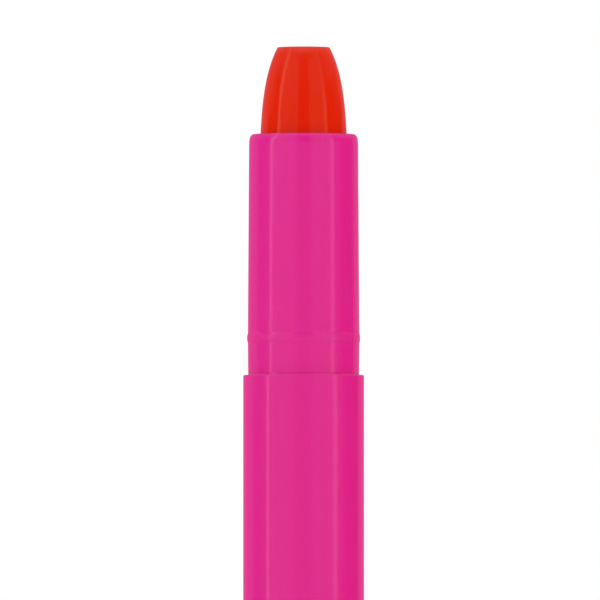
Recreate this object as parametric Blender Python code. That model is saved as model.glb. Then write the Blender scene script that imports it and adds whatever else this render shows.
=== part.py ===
"""Twist-up gel highlighter, standing on its rear end with the cap off.

Metres, +Z from the rear end to the writing tip, origin on the axis at the rear face.
A left-hand drive screw turns with the rear knob. Its nut is the foot of a push rod that
two flats keep from turning, so the rod lifts the cup and the gel stick through the neck.
"""

import math

import bmesh
import bpy
from mathutils import Matrix

# Gel stick
STICK_DIAMETER = 0.0104
STICK_TIP_DIAMETER = 0.0060
STICK_TIP_FADE = 0.0042  # length over which the tip swells towards the full diameter
STICK_TIP_EDGE = 0.00015
STICK_LENGTH = 0.0450  # what stands above the cup
STICK_EXPOSED = 0.0101  # what stands out of the neck at rest
RETRACTED_DEPTH = 0.0010  # how far the tip sinks below the neck's rim when wound in

# Neck, and the spigot below it that the barrel holds
NECK_LENGTH = 0.0279
NECK_WALL = 0.00097  # at the rim, below the lead-in
NECK_TAPER = 0.00014  # radius gained from the rim down to the cap bead
NECK_UNDERCUT = 0.00003  # radius lost again from the bead down to the barrel
LEAD_IN_HEIGHT = 0.0011
LEAD_IN_DEPTH = 0.00026
RIM_EDGE = 0.00015
CAP_BEAD_RISE = 0.0043  # from the barrel's shoulder to the middle of the bead
CAP_BEAD_WIDTH = 0.0012
CAP_BEAD_HEIGHT = 0.00009
SPIGOT_WALL = 0.00055
BULKHEAD_THICKNESS = 0.0050

# Barrel
BARREL_LENGTH = 0.0740
SHOULDER_STEP = 0.00054  # how far the barrel stands out from the neck
BARREL_EDGE = 0.00012
MOUTH_DEPTH = 0.0015  # counterbore that the foot of the neck sits in

# Twist knob and its end plug
KNOB_LENGTH = 0.0185
KNOB_WALL = 0.0013
KNOB_EDGE = 0.0003
KNOB_WEB = 0.0020
KNOB_WELL = 0.0060  # how far the knob's floor lies below its front face
BOSS_WALL = 0.0012
BOSS_LENGTH = 0.0050
FLUTE_COUNT = 20
FLUTE_DEPTH = 0.00035
FLUTE_RADIUS = 0.0009
FLUTE_SETBACK = 0.0026  # plain band between the flutes and the knob's front face
COLLAR_LENGTH = 0.0080
COLLAR_WALL = 0.0005  # under the drag ring's groove
SNAP_HEIGHT = 0.00045
SNAP_WIDTH = 0.0012
SNAP_SETBACK = 0.0014  # from the collar's free end to the middle of the snap bead
SNAP_SLOT_WIDTH = 0.0010
SNAP_SLOT_DEPTH = 0.0045
PLUG_FLANGE = 0.0012
PLUG_INSET = 0.0002
PLUG_EDGE = 0.0003
PLUG_SPIGOT = 0.0040
PLUG_WALL = 0.0010

# Drag ring round the collar
RING_SECTION = 0.00070
RING_RISE = 0.0018  # from the knob's front face to the middle of the ring

# Drive screw, push rod and cup
THREAD_LEAD = 0.0040
THREAD_DEPTH = 0.00070
THREAD_ROOT_WIDTH = 0.0016
THREAD_CREST_WIDTH = 0.0008
THRUST_THICKNESS = 0.0012
SHANK_LENGTH = 0.0065
SCREW_TIP = 0.0006
STOP_LIP = 0.00050  # how far the rod's foot stands out from the rod
STOP_THICKNESS = 0.0015
ROD_FLAT = 0.00040  # how deep each of the rod's two flats is
ROD_WALL = 0.00075
ROD_HEAD = 0.0012
NUT_LENGTH = 0.0060
STUD_DIAMETER = 0.0030
STUD_HEAD_LIP = 0.00035
STUD_HEAD_HEIGHT = 0.0007
CUP_WALL = 0.00070
CUP_DEPTH = 0.0060
CUP_BASE = 0.0015

# Clearances
STICK_CLEARANCE = 0.00015
FIT_CLEARANCE = 0.00015  # between pieces that are pressed together
RUN_CLEARANCE = 0.00020  # between pieces that slide or turn
SCREW_CLEARANCE = 0.00030  # between the thread's crest and the rod's bore
STOP_GAP = 0.00030  # left at each end of the stick's travel
OVERCUT = 0.00030  # how far a cutter runs past the face it opens

# Facets
SEGMENTS = 40
SMALL_SEGMENTS = 28  # round the screw, the rod's bore and the ring
FLUTE_SEGMENTS = 3  # from one flute to the next
THREAD_SEGMENTS = 16  # in one turn of the thread
SHARP_ANGLE = math.radians(35)

# Finishes: colour, roughness
PINK_PLASTIC = ((0.72, 0.02, 0.22), 0.30)
RED_GEL = ((0.75, 0.03, 0.01), 0.25)
WHITE_PLASTIC = ((0.80, 0.80, 0.78), 0.40)
BLACK_RUBBER = ((0.02, 0.02, 0.02), 0.70)

# Radii, from the stick outwards and then from the barrel's bore inwards
stick_r = STICK_DIAMETER / 2
bore_r = stick_r + STICK_CLEARANCE
neck_rim_r = bore_r + NECK_WALL
neck_foot_r = neck_rim_r + NECK_TAPER
spigot_r = bore_r + SPIGOT_WALL
barrel_bore_r = spigot_r + FIT_CLEARANCE
barrel_r = neck_foot_r + SHOULDER_STEP
mouth_r = neck_foot_r + FIT_CLEARANCE
knob_cavity_r = barrel_r - KNOB_WALL
collar_r = barrel_bore_r - RUN_CLEARANCE
ring_groove_r = barrel_bore_r - RING_SECTION - 2 * FIT_CLEARANCE
collar_bore_r = ring_groove_r - COLLAR_WALL
snap_r = collar_r + SNAP_HEIGHT
stop_r = collar_bore_r - RUN_CLEARANCE
rod_r = stop_r - STOP_LIP
rod_flat = rod_r - ROD_FLAT
rod_bore_r = rod_flat - ROD_WALL
thread_r = rod_bore_r - SCREW_CLEARANCE
core_r = thread_r - THREAD_DEPTH
shank_half = core_r
socket_half = shank_half + FIT_CLEARANCE
boss_r = socket_half * math.sqrt(2) + BOSS_WALL
stud_r = STUD_DIAMETER / 2

# Heights above the rear face, at rest
knob_rear = PLUG_FLANGE + FIT_CLEARANCE
knob_front = knob_rear + KNOB_LENGTH
barrel_rear = knob_front + RUN_CLEARANCE
shoulder = barrel_rear + BARREL_LENGTH
neck_rim = shoulder + NECK_LENGTH
stick_tip = neck_rim + STICK_EXPOSED
cup_rim = stick_tip - STICK_LENGTH
cup_foot = cup_rim - CUP_DEPTH - CUP_BASE
wind_in = STICK_EXPOSED + RETRACTED_DEPTH
bulkhead_top = cup_foot - wind_in - STOP_GAP
sleeve_rear = bulkhead_top - BULKHEAD_THICKNESS
screw_seat = knob_front - KNOB_WELL + FIT_CLEARANCE
rod_foot = screw_seat + THRUST_THICKNESS + STOP_GAP + wind_in
rod_length = cup_foot - FIT_CLEARANCE - rod_foot
screw_length = rod_foot - wind_in + rod_length - ROD_HEAD - STOP_GAP - screw_seat
snap_height = COLLAR_LENGTH - SNAP_SETBACK
wind_out = sleeve_rear - STOP_GAP - STOP_THICKNESS - rod_foot


def clear_scene():
    for obj in list(bpy.data.objects):
        bpy.data.objects.remove(obj)


def frame_empty(name, height):
    """An empty on the axis that carries the pieces of one body."""
    empty = bpy.data.objects.new(name, None)
    empty.location.z = height
    bpy.context.scene.collection.objects.link(empty)
    return empty


def new_object(name, bm):
    bmesh.ops.recalc_face_normals(bm, faces=bm.faces)
    mesh = bpy.data.meshes.new(name)
    bm.to_mesh(mesh)
    bm.free()
    obj = bpy.data.objects.new(name, mesh)
    bpy.context.scene.collection.objects.link(obj)
    return obj


def arc(centre_r, centre_z, radius, start, end, count):
    """Points on a round stretch of a profile, with angles in degrees from straight outwards."""
    angles = [math.radians(start + (end - start) * i / count) for i in range(count + 1)]
    return [(centre_r + radius * math.cos(a), centre_z + radius * math.sin(a)) for a in angles]


def bead(radius, height, centre_z, width, count=3):
    """A low round ridge on a wall of this radius, from its top to its foot."""
    steps = [math.pi * i / count for i in range(count + 1)]
    return [(radius + height * math.sin(a), centre_z + width / 2 * math.cos(a)) for a in steps]


def turned(name, profile, ring=False, segments=SEGMENTS):
    """A solid of revolution. Its profile runs from axis to axis, or all the way round a ring."""
    bm = bmesh.new()
    points = [bm.verts.new((r, 0, z)) for r, z in profile]
    pairs = list(zip(points, points[1:])) + ([(points[-1], points[0])] if ring else [])
    edges = [bm.edges.new(pair) for pair in pairs]
    bmesh.ops.spin(
        bm, geom=points + edges, axis=(0, 0, 1), angle=2 * math.pi, steps=segments, use_merge=True
    )
    bmesh.ops.remove_doubles(bm, verts=bm.verts, dist=1e-7)
    return new_object(name, bm)


def prism(name, outline, low, high):
    """An outline in XY extruded between two heights."""
    bm = bmesh.new()
    face = bm.faces.new([bm.verts.new((x, y, low)) for x, y in outline])
    raised = bmesh.ops.extrude_face_region(bm, geom=[face])["geom"]
    tops = [item for item in raised if isinstance(item, bmesh.types.BMVert)]
    bmesh.ops.translate(bm, verts=tops, vec=(0, 0, high - low))
    return new_object(name, bm)


def two_flats(radius, half_flat):
    """The outline of a round bar with two flats, facing +X and -X."""
    corner = math.acos(half_flat / radius)
    side = [corner + (math.pi - 2 * corner) * i / 16 for i in range(17)]
    angles = side + [a + math.pi for a in side]
    return [(radius * math.cos(a), radius * math.sin(a)) for a in angles]


def square(half):
    return [(half, half), (-half, half), (-half, -half), (half, -half)]


def helical_ridge(name, low, high, grow=0.0):
    """One left-hand thread ridge between two heights, grown on every side to cut its own groove.

    Its root is sunk below the screw's core, so that the two join as one solid.
    """
    root_r = core_r - THREAD_DEPTH / 2
    crest_r = thread_r + grow
    root_half = THREAD_ROOT_WIDTH / 2 + grow
    crest_half = THREAD_CREST_WIDTH / 2 + grow
    section = [(root_r, -root_half), (crest_r, -crest_half), (crest_r, crest_half), (root_r, root_half)]
    bm = bmesh.new()
    rings = []
    first = math.ceil(low / THREAD_LEAD * THREAD_SEGMENTS)
    last = math.floor(high / THREAD_LEAD * THREAD_SEGMENTS)
    for step in range(first, last + 1):
        angle = -2 * math.pi * step / THREAD_SEGMENTS
        height = THREAD_LEAD * step / THREAD_SEGMENTS
        c, s = math.cos(angle), math.sin(angle)
        rings.append([bm.verts.new((r * c, r * s, height + z)) for r, z in section])
    for one, two in zip(rings, rings[1:]):
        for i in range(4):
            j = (i + 1) % 4
            bm.faces.new((one[i], one[j], two[j], two[i]))
    bm.faces.new(rings[0])
    bm.faces.new(rings[-1])
    return new_object(name, bm)


def flute_cutters():
    """One rod for each flute, with a pointed front end, standing round the knob and past its rear."""
    centre_r = barrel_r + FLUTE_RADIUS - FLUTE_DEPTH
    front = KNOB_LENGTH - FLUTE_SETBACK
    point = front - 2 * FLUTE_RADIUS
    profile = [(0, front), (FLUTE_RADIUS, point), (FLUTE_RADIUS, -OVERCUT), (0, -OVERCUT)]
    one = turned("flute_cutter", profile, segments=12)
    bm = bmesh.new()
    for i in range(FLUTE_COUNT):
        bm.from_mesh(one.data)
        bmesh.ops.translate(bm, verts=bm.verts[-len(one.data.vertices):], vec=(centre_r, 0, 0))
        bmesh.ops.rotate(bm, verts=bm.verts, matrix=Matrix.Rotation(2 * math.pi / FLUTE_COUNT, 3, "Z"))
    bpy.data.objects.remove(one)
    return new_object("flute_cutters", bm)


def shape(obj, operation, tool):
    """A Boolean with a tool that stays in the file as a wire guide, moving with the piece."""
    tool.parent = obj
    tool.hide_render = True
    tool.display_type = "WIRE"
    modifier = obj.modifiers.new(tool.name, "BOOLEAN")
    modifier.operation = operation
    modifier.object = tool


def place(obj, body, height):
    obj.parent = body
    obj.location.z = height - body.location.z


def finish(obj, looks):
    """Gives a piece its Boolean result as a plain mesh, smooth shading and its own material."""
    bpy.context.view_layer.update()
    tools = [modifier.object for modifier in obj.modifiers]
    graph = bpy.context.evaluated_depsgraph_get()
    obj.data = bpy.data.meshes.new_from_object(obj.evaluated_get(graph))
    obj.modifiers.clear()
    for tool in tools:
        bpy.data.objects.remove(tool)
    obj.data.shade_smooth()
    obj.data.set_sharp_from_angle(angle=SHARP_ANGLE)
    colour, roughness = looks
    material = bpy.data.materials.new(obj.name)
    material.use_nodes = True
    shader = material.node_tree.nodes["Principled BSDF"]
    shader.inputs["Base Color"].default_value = (*colour, 1)
    shader.inputs["Roughness"].default_value = roughness
    shader.inputs["Metallic"].default_value = 0
    obj.data.materials.clear()
    obj.data.materials.append(material)


def outer_barrel():
    """A plain tube: a counterbored mouth for the neck, and a groove for the knob's snap bead."""
    groove = RUN_CLEARANCE + SNAP_WIDTH / 2
    groove_r = snap_r + RUN_CLEARANCE
    groove_z = snap_height - RUN_CLEARANCE
    profile = [
        (mouth_r, BARREL_LENGTH),
        (barrel_r - BARREL_EDGE, BARREL_LENGTH),
        *arc(barrel_r - BARREL_EDGE, BARREL_LENGTH - BARREL_EDGE, BARREL_EDGE, 45, 0, 1),
        (barrel_r, BARREL_EDGE),
        (barrel_r - BARREL_EDGE, 0),
        (barrel_bore_r, 0),
        (barrel_bore_r, groove_z - groove),
        (groove_r, groove_z - groove + (groove_r - barrel_bore_r)),
        (groove_r, groove_z + groove),
        (barrel_bore_r, groove_z + groove),
        (barrel_bore_r, BARREL_LENGTH - MOUTH_DEPTH),
        (mouth_r, BARREL_LENGTH - MOUTH_DEPTH),
    ]
    return turned("outer_barrel", profile, ring=True)


def front_sleeve():
    """The neck that takes the cap, its spigot in the barrel, and the keyed bulkhead at the rear."""
    rear = sleeve_rear - shoulder
    floor = bulkhead_top - shoulder
    seat = FIT_CLEARANCE - MOUTH_DEPTH
    lead_in_r = neck_rim_r - LEAD_IN_DEPTH
    lead_in_z = NECK_LENGTH - LEAD_IN_HEIGHT
    profile = [
        (0, floor),
        (bore_r, floor),
        (bore_r, NECK_LENGTH - RIM_EDGE),
        (bore_r + RIM_EDGE, NECK_LENGTH),
        *arc(lead_in_r - RIM_EDGE, NECK_LENGTH - RIM_EDGE, RIM_EDGE, 90, 15, 3),
        (neck_rim_r - LEAD_IN_DEPTH / 4, lead_in_z + LEAD_IN_HEIGHT / 3),
        (neck_rim_r, lead_in_z),
        *bead(neck_foot_r, CAP_BEAD_HEIGHT, CAP_BEAD_RISE, CAP_BEAD_WIDTH),
        (neck_foot_r - NECK_UNDERCUT, 0),
        (neck_foot_r - NECK_UNDERCUT, seat),
        (spigot_r, seat),
        (spigot_r, rear + RIM_EDGE),
        (spigot_r - RIM_EDGE, rear),
        (0, rear),
    ]
    sleeve = turned("front_sleeve", profile)
    keyway = two_flats(rod_r + RUN_CLEARANCE, rod_flat + RUN_CLEARANCE)
    shape(sleeve, "DIFFERENCE", prism("keyway_cutter", keyway, rear - OVERCUT, floor + OVERCUT))
    return sleeve


def gel_stick():
    """A cast stick: a blunt tip that swells to the full diameter, and a root inside the cup."""
    tip_r = STICK_TIP_DIAMETER / 2
    root_r = stick_r - CUP_WALL - FIT_CLEARANCE
    root = FIT_CLEARANCE - CUP_DEPTH
    recess_r = stud_r + STUD_HEAD_LIP + FIT_CLEARANCE
    recess = root + STUD_HEAD_HEIGHT + 2 * FIT_CLEARANCE
    depths = [STICK_TIP_EDGE + STICK_TIP_FADE * 4 * (i / 10) ** 1.6 for i in range(11)]
    swell = [
        (stick_r - (stick_r - tip_r) * math.exp(-d / STICK_TIP_FADE), STICK_LENGTH - d) for d in depths
    ]
    profile = [
        (0, STICK_LENGTH),
        (tip_r - STICK_TIP_EDGE, STICK_LENGTH),
        *swell,
        (stick_r, FIT_CLEARANCE),
        (root_r, FIT_CLEARANCE),
        (root_r, root),
        (recess_r, root),
        (recess_r, recess),
        (0, recess),
    ]
    return turned("gel_stick", profile)


def stick_cup():
    """The cup that grips the stick's root, with a hole in its base for the push rod's stud."""
    height = CUP_BASE + CUP_DEPTH
    hole_r = stud_r + FIT_CLEARANCE
    profile = [
        (stick_r - CUP_WALL, height),
        (stick_r, height),
        (stick_r, RIM_EDGE),
        (stick_r - RIM_EDGE, 0),
        (hole_r, 0),
        (hole_r, CUP_BASE),
        (stick_r - CUP_WALL, CUP_BASE),
    ]
    return turned("stick_cup", profile, ring=True)


def push_rod():
    """A tube with two flats: a stop and a nut at its foot, and a snap stud on its head."""
    rod = prism("push_rod", two_flats(rod_r, rod_flat), STOP_THICKNESS / 2, rod_length)
    stop = [(0, STOP_THICKNESS), (stop_r, STOP_THICKNESS), (stop_r, 0), (0, 0)]
    shape(rod, "UNION", turned("rod_stop", stop))
    head_r = stud_r + STUD_HEAD_LIP
    head = rod_length + CUP_BASE + 2 * FIT_CLEARANCE
    stud = [
        (0, head + STUD_HEAD_HEIGHT),
        (stud_r, head + STUD_HEAD_HEIGHT),
        (head_r, head + STUD_HEAD_HEIGHT / 3),
        (head_r, head),
        (stud_r, head),
        (stud_r, rod_length - ROD_HEAD / 2),
        (0, rod_length - ROD_HEAD / 2),
    ]
    shape(rod, "UNION", turned("rod_stud", stud, segments=SMALL_SEGMENTS))
    nut_r = core_r + RUN_CLEARANCE
    bore = [
        (0, rod_length - ROD_HEAD),
        (rod_bore_r, rod_length - ROD_HEAD),
        (rod_bore_r, NUT_LENGTH),
        (nut_r, NUT_LENGTH),
        (nut_r, -OVERCUT),
        (0, -OVERCUT),
    ]
    shape(rod, "DIFFERENCE", turned("rod_bore", bore, segments=SMALL_SEGMENTS))
    foot = rod_foot - screw_seat
    groove = helical_ridge("nut_groove", foot - THREAD_LEAD, foot + NUT_LENGTH + THREAD_LEAD, RUN_CLEARANCE)
    groove.location.z = -foot
    shape(rod, "DIFFERENCE", groove)
    return rod


def drive_screw():
    """A left-hand screw on a thrust flange, with a square shank for the knob's socket."""
    tip = min(SCREW_TIP, core_r / 2)
    profile = [
        (0, screw_length),
        (core_r - tip, screw_length),
        (core_r, screw_length - tip),
        (core_r, THRUST_THICKNESS),
        (stop_r, THRUST_THICKNESS),
        (stop_r, 0),
        (0, 0),
    ]
    screw = turned("drive_screw", profile, segments=SMALL_SEGMENTS)
    low = THRUST_THICKNESS + THREAD_ROOT_WIDTH
    high = screw_length - tip - THREAD_ROOT_WIDTH / 2
    shape(screw, "UNION", helical_ridge("thread_ridge", low, high))
    shape(screw, "UNION", prism("shank", square(shank_half), -SHANK_LENGTH, THRUST_THICKNESS / 2))
    return screw


def twist_knob():
    """A fluted grip with a snap collar in the barrel and a square socket for the screw."""
    floor = KNOB_LENGTH - KNOB_WELL
    web = floor - KNOB_WEB
    boss = web - BOSS_LENGTH
    collar_top = KNOB_LENGTH + COLLAR_LENGTH
    ring_z = KNOB_LENGTH + RING_RISE
    ring_half = RING_SECTION / 2 + FIT_CLEARANCE
    profile = [
        (0, floor),
        (collar_bore_r, floor),
        (collar_bore_r, collar_top),
        (collar_r - RIM_EDGE, collar_top),
        *bead(collar_r, SNAP_HEIGHT, KNOB_LENGTH + snap_height, SNAP_WIDTH),
        (collar_r, ring_z + ring_half),
        (ring_groove_r, ring_z + ring_half),
        (ring_groove_r, ring_z - ring_half),
        (collar_r, ring_z - ring_half),
        (collar_r, KNOB_LENGTH),
        (barrel_r - KNOB_EDGE, KNOB_LENGTH),
        *arc(barrel_r - KNOB_EDGE, KNOB_LENGTH - KNOB_EDGE, KNOB_EDGE, 60, 0, 2),
        *arc(barrel_r - KNOB_EDGE, KNOB_EDGE, KNOB_EDGE, 0, -90, 2),
        (knob_cavity_r, 0),
        (knob_cavity_r, web),
        (boss_r, web),
        (boss_r, boss),
        (0, boss),
    ]
    knob = turned("twist_knob", profile, segments=FLUTE_COUNT * FLUTE_SEGMENTS)
    shape(knob, "DIFFERENCE", flute_cutters())
    shape(knob, "DIFFERENCE", prism("socket_cutter", square(socket_half), boss - OVERCUT, floor + OVERCUT))
    slot = SNAP_SLOT_WIDTH / 2
    slot_low = collar_top - SNAP_SLOT_DEPTH
    for name, x, y in (("slot_cutter_x", barrel_r, slot), ("slot_cutter_y", slot, barrel_r)):
        outline = [(x, y), (-x, y), (-x, -y), (x, -y)]
        shape(knob, "DIFFERENCE", prism(name, outline, slot_low, collar_top + OVERCUT))
    return knob


def end_plug():
    """The flat disc that closes the knob and that the highlighter stands on."""
    flange_r = barrel_r - PLUG_INSET
    spigot_outer = knob_cavity_r - FIT_CLEARANCE
    top = PLUG_FLANGE + PLUG_SPIGOT
    profile = [
        (0, PLUG_FLANGE),
        (spigot_outer - PLUG_WALL, PLUG_FLANGE),
        (spigot_outer - PLUG_WALL, top),
        (spigot_outer - PLUG_EDGE, top),
        (spigot_outer, top - PLUG_EDGE),
        (spigot_outer, PLUG_FLANGE),
        (flange_r, PLUG_FLANGE),
        *arc(flange_r - PLUG_EDGE, PLUG_EDGE, PLUG_EDGE, 0, -90, 3),
        (0, 0),
    ]
    return turned("end_plug", profile)


def drag_ring():
    """The rubber ring that rubs in the barrel's bore, so that the knob stays where it is left."""
    centre_r = ring_groove_r + FIT_CLEARANCE + RING_SECTION / 2
    section = arc(centre_r, 0, RING_SECTION / 2, 360, 45, 7)
    return turned("drag_ring", section, ring=True)


def main():
    clear_scene()
    pen = frame_empty("pen", 0)
    knob_axis = frame_empty("knob_axis", knob_front)
    stick_axis = frame_empty("stick_axis", cup_foot)
    for empty in (knob_axis, stick_axis):
        empty.parent = pen
    pieces = [
        (outer_barrel(), pen, barrel_rear, PINK_PLASTIC),
        (front_sleeve(), pen, shoulder, PINK_PLASTIC),
        (gel_stick(), stick_axis, cup_rim, RED_GEL),
        (stick_cup(), stick_axis, cup_foot, WHITE_PLASTIC),
        (push_rod(), stick_axis, rod_foot, WHITE_PLASTIC),
        (drive_screw(), knob_axis, screw_seat, WHITE_PLASTIC),
        (twist_knob(), knob_axis, knob_rear, PINK_PLASTIC),
        (end_plug(), knob_axis, 0, PINK_PLASTIC),
        (drag_ring(), knob_axis, knob_front + RING_RISE, BLACK_RUBBER),
    ]
    for obj, body, height, looks in pieces:
        place(obj, body, height)
        finish(obj, looks)
    turn = math.degrees(2 * math.pi / THREAD_LEAD)
    print(f"stands {stick_tip * 1000:.2f} mm tall, barrel {barrel_r * 2000:.2f} mm across")
    print(f"stick winds in {wind_in * 1000:.2f} mm and out {wind_out * 1000:.2f} mm")
    print(f"knob turns {-wind_in * turn:.0f} to {wind_out * turn:.0f} degrees")


main()
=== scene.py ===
# %% [markdown]
# A twist-up gel highlighter
#
# This is a highlighter with its cap off. A stick of red gel stands out of a stepped pink neck, and a
# fluted knob at the rear winds it in and out with a screw. The solids come ready-made, as the frame
# that every piece below sits in. They carry the sizes and the motion, but they are faceted and plain.
# So each step makes one piece again with a fine surface, or gives one finish its detail.

# %% Load the frame
import math

import bmesh
import bpy
from mathutils import Matrix, Vector


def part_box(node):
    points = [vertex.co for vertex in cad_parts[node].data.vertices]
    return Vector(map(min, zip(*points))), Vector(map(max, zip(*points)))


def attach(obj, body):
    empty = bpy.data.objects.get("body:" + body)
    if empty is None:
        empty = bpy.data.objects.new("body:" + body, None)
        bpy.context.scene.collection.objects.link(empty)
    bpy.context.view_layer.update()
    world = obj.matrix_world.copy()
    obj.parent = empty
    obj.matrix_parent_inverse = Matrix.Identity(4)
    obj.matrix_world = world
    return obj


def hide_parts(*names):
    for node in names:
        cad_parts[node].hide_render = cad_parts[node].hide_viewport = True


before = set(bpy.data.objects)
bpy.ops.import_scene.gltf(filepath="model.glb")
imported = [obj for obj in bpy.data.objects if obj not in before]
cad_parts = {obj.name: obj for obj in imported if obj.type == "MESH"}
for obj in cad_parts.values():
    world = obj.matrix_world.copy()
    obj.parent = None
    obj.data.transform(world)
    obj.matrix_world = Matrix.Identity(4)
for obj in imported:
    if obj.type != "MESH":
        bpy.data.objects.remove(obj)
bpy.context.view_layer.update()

# %% [markdown]
# The long pieces give the sizes that everything else hangs on. They could be typed in again, but a
# number that is read from the frame can't drift away from it. The barrel gives the outer radius and
# the height of the shoulder, the sleeve gives the rim, and the stick gives the tip.

# %% Read the main heights and radii
MM = 1000  # millimetres to a metre, for what is printed

barrel_low, barrel_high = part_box("outer_barrel")
sleeve_low, sleeve_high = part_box("front_sleeve")
stick_low, stick_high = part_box("gel_stick")
barrel_r = barrel_high.x
barrel_rear = barrel_low.z
shoulder = barrel_high.z
neck_rim = sleeve_high.z
stick_r = stick_high.x
stick_tip = stick_high.z
print(f"barrel {2 * barrel_r * MM:.2f} mm across, shoulder {shoulder * MM:.2f} mm up")
print(f"rim {neck_rim * MM:.2f} mm up, tip {stick_tip * MM:.2f} mm up")

# %% [markdown]
# The photograph looks at the highlighter from straight ahead and from a little below: the rims curve
# upwards slightly, and the sides stay parallel. That is a long lens far away. The camera could be placed
# by eye, but the photograph gives enough to work it out. The barrel's width in pixels fixes the scale of
# the picture, and the column of the axis and the row of the shoulder fix its place.

# %% Camera
PHOTO_SIDE = 600  # pixels each way
BARREL_PIXELS = 120.8
AXIS_COLUMN = 303.6
SHOULDER_ROW = 373.75
CAMERA_DISTANCE = 2.0
CAMERA_TILT = math.radians(1.3)  # upwards
SENSOR_WIDTH = 36.0  # millimetres, as a lens is given

pixel = 2 * barrel_r / BARREL_PIXELS
near_edge_lift = barrel_r * math.sin(CAMERA_TILT)
aim = Vector((
    (PHOTO_SIDE / 2 - AXIS_COLUMN) * pixel,
    0,
    shoulder + near_edge_lift + (SHOULDER_ROW - PHOTO_SIDE / 2) * pixel,
))
sight = Vector((0, math.cos(CAMERA_TILT), math.sin(CAMERA_TILT)))
camera_data = bpy.data.cameras.new("camera")
camera_data.sensor_width = SENSOR_WIDTH
camera_data.lens = SENSOR_WIDTH * CAMERA_DISTANCE / (PHOTO_SIDE * pixel)
camera = bpy.data.objects.new("camera", camera_data)
camera.location = aim - sight * CAMERA_DISTANCE
camera.rotation_mode = "QUATERNION"
camera.rotation_quaternion = sight.to_track_quat("-Z", "Y")
bpy.context.scene.collection.objects.link(camera)
bpy.context.scene.camera = camera
bpy.context.scene.view_settings.view_transform = "Standard"
print(f"lens {camera_data.lens:.0f} mm, {pixel * MM:.4f} mm to a pixel")
print(f"aimed at a point {aim.z * MM:.2f} mm up")

# %% [markdown]
# Shaders and Geometry Nodes are both trees of nodes, and long rows of links are hard to read. This
# small class wraps the output of a node, so that a sum such as `1 - mask` adds the Math node for it.
# Any other node comes from its one method `node`: the kind, the settings, then the sockets.

# %% One class for all node trees
class Wire:
    """The output of a node in a tree, or just the tree while socket is None."""

    def __init__(self, tree, socket=None):
        self.tree = tree
        self.socket = socket

    def node(self, kind, settings=None, sockets=None, output=0):
        """Adds a node, sets it up, then gives each socket its value or its link."""
        made = self.tree.nodes.new(kind)
        for name, value in (settings or {}).items():
            setattr(made, name, value)
        for key, value in (sockets or {}).items():
            socket = self.find(made.inputs, key)
            if isinstance(value, Wire):
                self.tree.links.new(value.socket, socket)
            else:
                socket.default_value = value
        return Wire(self.tree, self.find(made.outputs, output) if made.outputs else None)

    def find(self, sockets, key):
        """A socket by its place, its name or, where names repeat, its identifier."""
        if isinstance(key, int):
            return sockets[key]
        return next(s for s in sockets if key in (s.identifier, s.name) and s.enabled)

    def math(self, operation, *others):
        """A Math node that takes this wire first, then the others."""
        return self.node("ShaderNodeMath", {"operation": operation}, dict(enumerate((self, *others))))

    def __add__(self, other):
        return self.math("ADD", other)

    def __mul__(self, other):
        return self.math("MULTIPLY", other)

    def __sub__(self, other):
        return self.math("SUBTRACT", other)

    def __truediv__(self, other):
        return self.math("DIVIDE", other)

    def __rsub__(self, other):
        return self.node("ShaderNodeMath", {"operation": "SUBTRACT"}, {0: other, 1: self})

    def __rtruediv__(self, other):
        return self.node("ShaderNodeMath", {"operation": "DIVIDE"}, {0: other, 1: self})

    __radd__ = __add__
    __rmul__ = __mul__

    def smooth(self, low, high):
        """0 below low, 1 above high and a smooth rise between."""
        limits = {"Value": self, "From Min": low, "From Max": high}
        return self.node("ShaderNodeMapRange", {"interpolation_type": "SMOOTHSTEP"}, limits)

    def split(self):
        """The three numbers of a vector."""
        parts = self.node("ShaderNodeSeparateXYZ", sockets={"Vector": self})
        outputs = parts.socket.node.outputs
        return [Wire(self.tree, outputs[axis]) for axis in "XYZ"]

    def mix(self, first, second):
        """From one colour to another, by this wire."""
        sockets = {"Factor_Float": self, "A_Color": first, "B_Color": second}
        return self.node("ShaderNodeMix", {"data_type": "RGBA"}, sockets, "Result_Color")


print("node trees are written with the class", Wire.__name__)

# %% [markdown]
# The picture was taken in a light tent: soft light from everywhere, so that the colours look flat and
# full. The gloss is another matter. A wall seen from straight ahead mirrors what stands level with
# it, and there the photograph shows grey cards: mid grey in front, darker at the sides and darkest on
# the right. The gel leans back, so it mirrors what stands higher up: a dark card in front, paler ones
# in the back corners and a bright roof. The edges of all pieces mirror a rose card behind.
#
# The cards at the sides come first. A direction of length 1 has a part across, a part away from the
# camera and a part up. The line between two cards is given in one of these parts: where one card ends,
# and where the next is full.

# %% Cards at the sides
CARD_LEFT = 0.14  # level with the pen, and as dark as the right above that
CARD_RIGHT = 0.04
CARD_LEFT_BACK = 0.31
CARD_RIGHT_BACK = 0.15
CARD_SIDES_HIGH = 0.32
MIDDLE_LINE = (-0.5, 0.5)  # across
CORNER_LINE = (-0.1, 0.4)  # away
CORNER_FOOT = (0.09, 0.20)  # up
HIGH_LINE = (0.30, 0.44)  # up
HIGH_LEAN = 0.06  # lower on the right


def blend(first, second, share):
    """From one strength to another, by a share from 0 to 1."""
    return first + (second - first) * share


def side_cards(across, away, up, above):
    """The strength of the cards at the sides. Above is 0 level with the pen and 1 higher up."""
    to_right = across.smooth(*MIDDLE_LINE)
    level = blend(blend(CARD_LEFT, CARD_RIGHT, above), CARD_RIGHT, to_right)
    corner = away.smooth(*CORNER_LINE) * up.smooth(*CORNER_FOOT)
    middle = blend(level, blend(CARD_LEFT_BACK, CARD_RIGHT_BACK, to_right), corner)
    return blend(middle, CARD_SIDES_HIGH, (up + HIGH_LEAN * across).smooth(*HIGH_LINE))


print("cards at the sides from", CARD_RIGHT, "to", CARD_SIDES_HIGH)

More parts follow.
